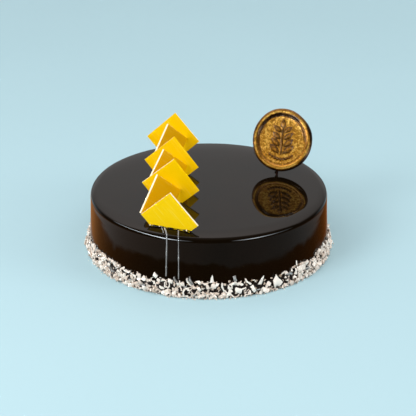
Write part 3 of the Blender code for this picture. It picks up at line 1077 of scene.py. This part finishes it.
def piece_of_crumbs(name, crumbs):
    """One mesh of many crumbs, each with its own shade."""
    faces, shades = [], []
    for corners, sides, own_shade in crumbs:
        start = len(shades)
        faces.extend([tuple(start + index for index in side) for side in sides])
        shades.extend([own_shade] * len(corners))
    mesh = bpy.data.meshes.new(name)
    mesh.from_pydata(np.concatenate([corners for corners, _, _ in crumbs]).tolist(), [], faces)
    shade = mesh.attributes.new("shade", "FLOAT", "POINT")
    shade.data.foreach_set("value", shades)
    piece = bpy.data.objects.new(name, mesh)
    bpy.context.scene.collection.objects.link(piece)
    return piece


def lay_crumbs(name, crumbs, material, sharp_angle):
    piece = piece_of_crumbs(name, crumbs)
    smooth(piece, sharp_angle)
    finish(piece, name, [material], ["crumb_ring"])


def pressed_on(turned, angle_round, radius, height):
    """A turned crumb pressed a little flat against the wall, at its place and clear of the floor."""
    outward = np.array([math.cos(angle_round), math.sin(angle_round), 0.0])
    depths = turned @ outward
    placed = turned - PRESS * np.outer(depths, outward) + radius * outward + np.array([0.0, 0.0, height])
    placed[:, 2] += max(0.0, CRUMB_CLEARANCE * MM - placed[:, 2].min())
    return placed


def heap_placer(low_sink, high_sink, taken):
    """Lays crumbs on the ring, sunk into it by a share of their size."""

    def place(rng, corners, size):
        angle_round, share = emptiest_spot(rng, size, taken)
        radius, height = ring_surface(angle_round, share)
        sink = size * rng.uniform(low_sink, high_sink)
        return pressed_on(corners @ random_turn(rng).T, angle_round, radius - sink, height)

    return place


def standing_crumbs(kind):
    """The few large crumbs of that kind that stand out of the ring, each at its own place."""
    crumbs = []
    for model, turn, height, size, tilt, shade in STANDING[kind]:
        corners, sides = model_variants(model, 1)[0]
        angle_round = math.radians(turn - 90)
        tilted = corners * size * MM @ np.array(Matrix.Rotation(math.radians(tilt), 3, "Y")).T
        turned = tilted @ np.array(Matrix.Rotation(math.radians(turn), 3, "Z")).T
        share = min(1.0, height * MM / bpy.context.scene.cake.crumbs.height)
        radius, _ = ring_surface(angle_round, share)
        crumbs.append((pressed_on(turned, angle_round, radius, height * MM), sides, shade))
    return crumbs


def on_floor(rng, corners, size):
    """Drops a speck on the floor close to the ring."""
    angle_round = rng.uniform(0.0, 2.0 * math.pi)
    edge = CAKE_FOOT_RADIUS + bpy.context.scene.cake.crumbs.width
    radius = min(edge + abs(rng.normal(0.0, SPECK_SPREAD)) * MM, SPECK_LIMIT * MM)
    placed = corners @ random_turn(rng).T
    placed += np.array([radius * math.cos(angle_round), radius * math.sin(angle_round), 0.0])
    placed[:, 2] -= placed[:, 2].min() - SPECK_CLEARANCE * MM
    return placed


def crumb_chocolate(settings):
    """Crumbled white chocolate: opaque, waxy and cream-white, each crumb of its own tone, with the under
    layer's crumbs darker as painted shade.
    """
    tones = [(0.25, settings.shade), (0.5, linear("#E2CFC0")), (0.95, settings.tint)]
    return grained_material(
        "crumbled_white_chocolate", 1.2, tones, (0.5, 0.15), (0.42, 0.65), detail=3.0, shaded=True
    )


def clear_sugar():
    """Glassy flakes of pulled sugar: grey where the dark glaze shows through them."""
    tones = [(0.35, linear("#A19F9C")), (0.65, linear("#DEDBD7"))]
    clear = {"Transmission Weight": 0.4}
    return grained_material("pulled_sugar_flake", 2.0, tones, (0.3, 0.2), 0.18, constants=clear)


def ring_bed():
    """The glaze that ran down and set among the crumbs: dark, lumpy and kept dull, so that it also stands as
    painted shade in the gaps between them.
    """
    tones = [(0.2, linear("#24170F")), (0.7, linear("#0C0705"))]
    dull = {"Specular IOR Level": 0.15}
    return grained_material(
        "pooled_glaze_and_gap_shade", 2.5, tones, (0.8, 0.6), 0.6, detail=0.0, texture="TexVoronoi", constants=dull
    )


def raise_bed(crumbs):
    """The ring's core under the crumbs: a low bank against the wall.

    It is made of a ring 1 m thick that is drawn in, so each vertex tells how far out and up it goes. The
    ring's inner half turns over on the way, and lies inside the cake.
    """
    deselect_all()
    bpy.ops.mesh.primitive_torus_add(
        major_radius=BED_MIDDLE, minor_radius=1.0, major_segments=160, minor_segments=16
    )
    bed = bpy.context.object
    for vertex in bed.data.vertices:
        round_angle = math.atan2(vertex.co.y, vertex.co.x)
        out = (vertex.co.xy.length - BED_MIDDLE + 1.0) / 2.0
        up = (vertex.co.z + 1.0) / 2.0
        width = crumbs.width * 0.62 * (1.0 + 0.15 * uneven_width(round_angle))
        top = crumbs.height * 0.8 * (1.0 + 0.15 * uneven_height(round_angle))
        radius = BED_INSIDE + out * (width + 1.2 * MM) - 0.5 * width * up**2 * out
        vertex.co = (radius * math.cos(round_angle), radius * math.sin(round_angle), up * top)
    face_outwards(bed)
    bed.data.shade_smooth()
    return bed


class CAKE_OT_press_crumbs(bpy.types.Operator):
    """Presses the ring of white chocolate crumbs against the foot of the cake"""

    bl_idname = "cake.press_crumbs"
    bl_label = "Crumb ring"

    def execute(self, context):
        crumbs = context.scene.cake.crumbs
        # The bed's dark, dull glaze also serves as painted shade between the crumbs.
        finish(raise_bed(crumbs), "glaze_bed", [ring_bed()], ["crumb_ring"])
        chocolate = crumb_chocolate(crumbs)
        sugar = clear_sugar()
        # The loose crumbs keep clear of those that stand out.
        stood = [
            (math.radians(turn - 90), height * MM / crumbs.height, 1.25 * size * MM)
            for kind in STANDING.values()
            for _, turn, height, size, _, _ in kind
        ]
        deep, outer = heap_placer(0.1, 0.4, []), heap_placer(-0.15, 0.2, stood)
        # Name, model, number of variants, number of crumbs, least, usual and most size in mm.
        kinds = (
            ("crumb_bits", chunk_model, 6, crumbs.under, (1.2, 2.0, 3.0), chocolate, deep),
            ("crumb_chunks", chunk_model, 8, crumbs.chunks, (2.2, 3.5, 5.2), chocolate, outer),
            ("crumb_folds", fold_model, 6, crumbs.folds, (2.8, 4.0, 5.8), chocolate, outer),
            ("crumb_curls", curl_model, 8, crumbs.curls, (2.6, 3.8, 5.4), chocolate, outer),
            ("crumb_shards", shard_model, 5, crumbs.shards, (3.0, 4.6, 6.5), chocolate, outer),
            ("sugar_flakes", fold_model, 5, crumbs.clear_flakes, (2.6, 3.4, 4.6), sugar, outer),
            ("crumb_specks", speck_model, 4, crumbs.specks, (0.4, 0.7, 1.4), chocolate, on_floor),
        )
        for order, (name, model, variants, count, sizes, material, placer) in enumerate(kinds):
            rng = np.random.default_rng(71 + order)
            # The under layer takes the darkest shades: painted shade deep among the crumbs.
            shades = (0.0, 0.3) if placer is deep else (0.15, 1.0)
            loose = scatter(model_variants(model, variants), count, sizes, rng, placer, shades)
            lay_crumbs(name, loose, material, 35.0)
        for kind, material in (("chocolate", chocolate), ("sugar", sugar)):
            lay_crumbs(f"standing_{kind}", standing_crumbs(kind), material, 50.0)
        return {"FINISHED"}


# ---------------------------------------------------------------- threads of glaze

# Each thread: its share of the usual thickness, how far down it has a drop, and its run, which hangs
# straight down as (way over the rim and down the wall, place across), all in mm.
THREADS = {
    "thread_left": (
        1.35, 33.0,
        ((1.5, -32.6), (4.0, -31.6), (7.0, -30.6), (14.0, -30.7), (28.0, -31.2), (40.0, -31.6)),
    ),
    "thread_right": (0.95, 24.5, ((2.8, -22.2), (14.0, -22.1), (28.0, -22.2), (41.0, -22.3))),
    "thread_short": (0.7, 3.0, ((1.0, -34.7), (3.0, -34.3), (5.0, -33.4), (6.5, -33.0))),
}
THREAD_POINTS = 56


def surface_point(across, along, stand_off):
    """A point on the cake's front, across from its middle and along over the rim and down the wall."""
    rounding = bpy.context.scene.cake.glaze.rim_rounding
    flat_radius, rim_height = rim_middle()
    quarter = 0.5 * math.pi * rounding
    if along < quarter:
        turn = along / rounding
        radius = flat_radius + (rounding + stand_off) * math.sin(turn)
        height = rim_height + (rounding + stand_off) * math.cos(turn)
    else:
        height = rim_height - (along - quarter)
        radius = wall_radius(height) + stand_off
    return Vector((across, -math.sqrt(radius**2 - across**2), height))


def glaze_thread(settings):
    """A thread of clear sugar glaze that ran down and set: pale, glossy and half see-through."""
    tones = [(0.3, linear("#8E8B8A")), (0.7, settings.tint)]
    clear = {"Transmission Weight": 0.3}
    return grained_material("set_sugar_thread", 5.0, tones, (0.3, 0.1), 0.2, constants=clear)


class CAKE_OT_draw_threads(bpy.types.Operator):
    """Draws the thin threads of glaze that run from the first square over the rim"""

    bl_idname = "cake.draw_threads"
    bl_label = "Glaze threads"

    def execute(self, context):
        settings = context.scene.cake.threads
        material = glaze_thread(settings)
        for name, (share, drop, run) in THREADS.items():
            ways, places = zip(*run)
            points = []
            for way in np.linspace(ways[0], ways[-1], THREAD_POINTS):
                across = np.interp(way, ways, places)
                swelling = 0.15 * math.sin(0.35 * way) + 0.6 * math.exp(-(((way - drop) / 0.8) ** 2))
                points.append((surface_point(across * MM, way * MM, 0.1 * MM), 0.85 + swelling))
            piece = draw_tube(name, settings.thickness * share, 3, points)
            finish(piece, name, [material])
        return {"FINISHED"}


# ---------------------------------------------------------------- the stage

# Light levels of the studio over the cake, by degrees from the horizon behind it, as the mirror glaze and
# as the matt surfaces see them, and the share of them that is left at each height over the horizon.
MIRROR_ARCH = (
    (0, 3.9), (13, 3.0), (17, 2.3), (19.5, 1.85), (22, 1.44), (25, 1.34), (36, 1.42), (48, 1.75), (60, 2.2),
    (72, 2.6), (81, 2.8), (87, 2.0), (95, 0.7), (104, 0.35), (120, 0.25), (150, 0.2), (166, 0.1), (180, 0.06),
)
MATT_ARCH = (
    (0, 1.29), (25, 1.32), (36, 1.45), (48, 1.75), (60, 2.15), (84, 2.75), (108, 3.0), (120, 3.15),
    (132, 2.95), (144, 2.3), (156, 0.5), (166, 0.1), (180, 0.08),
)
HEIGHT_LEVELS = (
    (0, 0.03), (8, 0.1), (14, 0.24), (21, 0.36), (29, 0.53), (37, 0.64), (53, 0.8), (70, 0.92), (90, 1.0),
)
# The level that a colour stop of 1 stands for.
LEVEL_SCALE = 4.0
# How much of the matt surfaces' light is left, and how much brighter the left is than the middle.
DOME_SHED = 0.62
LEFT_BRIGHTER = 0.22
# The two bright strips, by degrees round the cake from the front: their levels and the height of their
# middle, in degrees over the horizon.
STRIP_LEVELS = (
    (-98, 0.0), (-86, 0.2), (-75, 0.45), (-62, 0.6), (-50, 0.95), (-43, 1.0), (-33, 0.43), (-24, 0.08),
    (-14, 0.0), (20, 0.0), (26, 0.08), (32, 0.2), (38, 0.35), (44, 0.38), (49, 0.3), (55, 0.18), (66, 0.05),
    (83, 0.0),
)
STRIP_MIDDLES = ((-100, 5.0), (-75, 3.5), (-62, 0.0), (-50, -5.0), (-40, -8.0), (60, -8.0))
STRIP_HALF_WIDTH = 3.0
STRIP_STRENGTH = 78.0
# Tones of the ground that the glaze mirrors, by degrees round the cake: lower than GROUND_EDGE, which is
# in degrees over the horizon, then close above it, and then from there up to the horizon.
LOW_TONES = (
    (-180, "#B08A74"), (-110, "#CEC4BF"), (-50, "#C6B8B0"), (10, "#888F95"), (100, "#A4A7A8"),
    (150, "#9A745C"), (180, "#B08A74"),
)
WARM_TONES = (
    (-180, "#B0733F"), (-145, "#D08A50"), (-100, "#9A5E2C"), (-60, "#6C3C15"), (0, "#4A2A13"),
    (100, "#744012"), (150, "#8A4E20"), (180, "#B0733F"),
)
HIGH_TONES = (
    (-180, "#B4CED6"), (-145, "#B4CED6"), (-115, "#26292B"), (-90, "#18191A"), (90, "#18191A"),
    (115, "#26292B"), (145, "#B4CED6"), (180, "#B4CED6"),
)
GROUND_EDGE = (
    (-180, -24.4), (-150, -24.1), (-127, -23.2), (-100, -22.0), (-50, -20.7), (20, -19.9), (60, -20.7),
    (100, -22.0), (125, -22.95), (150, -24.1), (180, -24.4),
)
# Where the view's axis passes the middle of the base: left of it, over it across the view, behind it.
AXIS_LEFT = 0.66 * MM
AXIS_OVER = 25.29 * MM
AXIS_BEHIND = 1.0 * MM


def studio_paint(settings):
    """Pale blue matt paint, rolled on a seamless studio floor: faintly mottled, with a fine stipple."""
    material, tree, place = start_material("rolled_matt_paint")
    mottle = add_node(tree, "TexNoise", {"Vector": place, "Scale": per_metre(400.0), "Detail": 2.0})["Fac"]
    tones = [(0.3, settings.floor_tint), (0.7, linear("#ABC8D0"))]
    tone = add_node(tree, "ValToRGB", {"Fac": mottle}, tones)
    stipple = add_node(tree, "TexNoise", {"Vector": place, "Scale": per_metre(1.5)})["Fac"]
    texture = add_node(tree, "Bump", {"Height": stipple, "Strength": 0.1, "Distance": 0.05 * MM})
    inputs = {"Base Color": tone["Color"], "Normal": texture["Normal"]}
    return end_material(material, {**inputs, "Roughness": 0.9, "Specular IOR Level": 0.1})


def light_world():
    """The studio: a large soft light overhead, dim walls and two low bright strips.

    The glaze mirrors all of it, so its levels follow what the top, the rim and the wall show. Below the
    horizon it mirrors a dim warm ground, and the pale floor only carries the shadows.
    """
    world = bpy.context.scene.world or bpy.data.worlds.new("studio")
    bpy.context.scene.world = world
    world.use_nodes = True
    tree = world.node_tree
    tree.nodes.clear()

    def sine(degrees):
        return math.sin(math.radians(degrees))

    def around(stops):
        """Stops given in degrees round the cake as shares of the whole turn."""
        return [(degrees / 360 + 0.5, value) for degrees, value in stops]

    def levels(share, stops):
        """Light levels, up to LEVEL_SCALE, along a share between 0 and 1."""
        scaled = [(position, (*[level / LEVEL_SCALE] * 3, 1.0)) for position, level in stops]
        shown = add_node(tree, "ValToRGB", {"Fac": share}, scaled)["Color"]
        return add_node(tree, "Math", (shown, LEVEL_SCALE), operation="MULTIPLY")[0]

    def heights(share, stops):
        """Heights of a line round the cake given in degrees, as sines with 1 added."""
        return levels(share, [(position, 1.0 + sine(degrees)) for position, degrees in around(stops)])

    ray = add_node(tree, "LightPath")
    mirrored, seen = ray["Is Glossy Ray"], ray["Is Camera Ray"]
    unmirrored = add_node(tree, "Math", (1.0, mirrored), operation="SUBTRACT")[0]
    unseen = add_node(tree, "Math", (1.0, seen), operation="SUBTRACT")[0]
    direction = add_node(tree, "TexCoord")["Generated"]
    right, back, height = add_node(tree, "SeparateXYZ", {"Vector": direction}).values()
    above = add_node(tree, "Math", (height, 0.0), operation="GREATER_THAN")[0]
    raised = add_node(tree, "Math", (height, 1.0), operation="ADD")[0]

    # Over the cake: 0 at the horizon behind it, a half overhead, 1 at the horizon in front.
    over = add_node(tree, "Math", (height, back), operation="ARCTAN2")[0]
    over = add_node(tree, "Math", (over, math.pi), operation="DIVIDE")[0]
    mirror_arch = levels(over, [(degrees / 180, level) for degrees, level in MIRROR_ARCH])
    matt_arch = levels(over, [(degrees / 180, level * DOME_SHED) for degrees, level in MATT_ARCH])
    # What the mirror glaze sees at full strength reaches the matt surfaces weaker and from further forward.
    mirror_arch = add_node(tree, "Math", (mirrored, mirror_arch), operation="MULTIPLY")[0]
    arch = add_node(tree, "Math", (unmirrored, matt_arch, mirror_arch), operation="MULTIPLY_ADD")[0]
    rise = levels(height, [(sine(degrees), level) for degrees, level in HEIGHT_LEVELS])
    sideways = add_node(tree, "Math", (right, -LEFT_BRIGHTER, 1.0), operation="MULTIPLY_ADD")[0]
    dome = unseen
    for share in (arch, rise, sideways, above):
        dome = add_node(tree, "Math", (dome, share), operation="MULTIPLY")[0]

    # Round the cake: a half in front, more to the right.
    front = add_node(tree, "Math", (back, -1.0), operation="MULTIPLY")[0]
    turn = add_node(tree, "Math", (right, front), operation="ARCTAN2")[0]
    turn = add_node(tree, "Math", (turn, 0.5 / math.pi, 0.5), operation="MULTIPLY_ADD")[0]
    offset = add_node(tree, "Math", (raised, heights(turn, STRIP_MIDDLES)), operation="SUBTRACT")[0]
    offset = add_node(tree, "Math", (offset,), operation="ABSOLUTE")[0]
    strips = add_node(tree, "Math", (offset, sine(STRIP_HALF_WIDTH)), operation="LESS_THAN")[0]
    for share in (levels(turn, around(STRIP_LEVELS)), mirrored, STRIP_STRENGTH):
        strips = add_node(tree, "Math", (strips, share), operation="MULTIPLY")[0]

    low, warm, ground = (
        add_node(tree, "ValToRGB", {"Fac": turn}, [(p, linear(tone)) for p, tone in around(tones)])["Color"]
        for tones in (LOW_TONES, WARM_TONES, HIGH_TONES)
    )
    under_edge = add_node(tree, "Math", (heights(turn, GROUND_EDGE), raised), operation="SUBTRACT")[0]
    # The high tones give way to the warm ones over a soft band, and these to the low ones at the edge.
    for first, last, tone in ((-0.085, -0.045, warm), (-0.001, 0.003, low)):
        span = {"From Min": first, "From Max": last}
        fade = add_node(tree, "MapRange", {"Value": under_edge, **span})["Result"]
        ground = add_node(tree, "Mix", {0: fade, 6: ground, 7: tone}, data_type="RGBA")[2]
    below = add_node(tree, "Math", (1.0, above), operation="SUBTRACT")[0]
    below = add_node(tree, "Math", (below, mirrored), operation="MULTIPLY")[0]

    lit = dome
    blueish, backdrop = linear("#E3F4FF")[:3], linear("#C0DCE4")[:3]
    for tone, amount in ((ground, below), (blueish, strips), (backdrop, seen)):
        part = add_node(tree, "VectorMath", {0: tone, "Scale": amount}, operation="SCALE")[0]
        lit = add_node(tree, "VectorMath", (lit, part), operation="ADD")[0]
    background = add_node(tree, "Background", {"Color": lit})
    add_node(tree, "OutputWorld", {"Surface": background["Background"]})


def add_softbox(name, azimuth, elevation, distance, size, power):
    """A rectangular softbox aimed at the cake, which lights the matt surfaces and isn't mirrored.

    Azimuth 0 is the camera's side, positive to its right.
    """
    turn, rise = math.radians(azimuth), math.radians(elevation)
    level = math.cos(rise)
    direction = Vector((math.sin(turn) * level, -math.cos(turn) * level, math.sin(rise)))
    deselect_all()
    bpy.ops.object.light_add(type="AREA", location=direction * distance)
    lamp = bpy.context.object
    lamp.name = name
    lamp.rotation_euler = direction.to_track_quat("Z", "Y").to_euler()
    lamp.data.shape = "RECTANGLE"
    lamp.data.size, lamp.data.size_y = size
    lamp.data.energy = power
    lamp.visible_glossy = False


class CAKE_OT_set_stage(bpy.types.Operator):
    """Lays the studio floor and places the lights and the camera"""

    bl_idname = "cake.set_stage"
    bl_label = "Stage"

    def execute(self, context):
        settings = context.scene.cake.stage
        deselect_all()
        bpy.ops.mesh.primitive_plane_add(size=20.0)
        floor = context.object
        floor.name = "studio_floor"
        floor.data.materials.append(studio_paint(settings))
        floor.visible_glossy = False
        light_world()
        add_softbox("left_softbox", -48, 31, 1.3, (0.5, 0.4), 7.3)
        add_softbox("right_softbox", 70, 22, 1.5, (0.6, 0.6), 6.5)
        tilt, distance = settings.pitch, settings.distance
        place = (
            -AXIS_LEFT,
            AXIS_OVER * math.sin(tilt) - distance * math.cos(tilt) + AXIS_BEHIND,
            AXIS_OVER * math.cos(tilt) + distance * math.sin(tilt),
        )
        bpy.ops.object.camera_add(location=place, rotation=(math.radians(90) - tilt, 0.0, 0.0))
        camera = context.object
        camera.data.sensor_width = 36.0
        camera.data.lens = settings.focal_length
        camera.data.clip_start = 0.01
        context.scene.camera = camera
        context.scene.view_settings.view_transform = "Standard"
        return {"FINISHED"}


# ---------------------------------------------------------------- the panel and the run


class CAKE_PT_panel(bpy.types.Panel):
    """Lists the steps of the cake and their settings"""

    bl_idname = "CAKE_PT_panel"
    bl_label = "Glazed truffle cake"
    bl_space_type = "VIEW_3D"
    bl_region_type = "UI"
    bl_category = "Cake"

    def draw(self, context):
        for operator in OPERATORS:
            self.layout.operator(operator.bl_idname)
        for name, group in GROUPS.items():
            box = self.layout.box()
            for setting in group.__annotations__:
                box.prop(getattr(context.scene.cake, name), setting)


GROUPS = {
    "glaze": GlazeSettings,
    "squares": SquareSettings,
    "seal": SealSettings,
    "crumbs": CrumbSettings,
    "threads": ThreadSettings,
    "stage": StageSettings,
}
OPERATORS = (
    CAKE_OT_pour_glaze,
    CAKE_OT_stand_squares,
    CAKE_OT_press_seal,
    CAKE_OT_set_pick,
    CAKE_OT_press_crumbs,
    CAKE_OT_draw_threads,
    CAKE_OT_set_stage,
)
CLASSES = (*GROUPS.values(), CakeSettings, *OPERATORS, CAKE_PT_panel)


def register():
    for made in CLASSES:
        bpy.utils.register_class(made)
    bpy.types.Scene.cake = PointerProperty(type=CakeSettings)


def unregister():
    del bpy.types.Scene.cake
    for made in reversed(CLASSES):
        bpy.utils.unregister_class(made)


def main():
    register()
    bpy.ops.cake.pour_glaze()
    bpy.ops.cake.stand_squares()
    bpy.ops.cake.press_seal()
    bpy.ops.cake.set_pick()
    bpy.ops.cake.press_crumbs()
    bpy.ops.cake.draw_threads()
    bpy.ops.cake.set_stage()


if __name__ == "__main__":
    main()
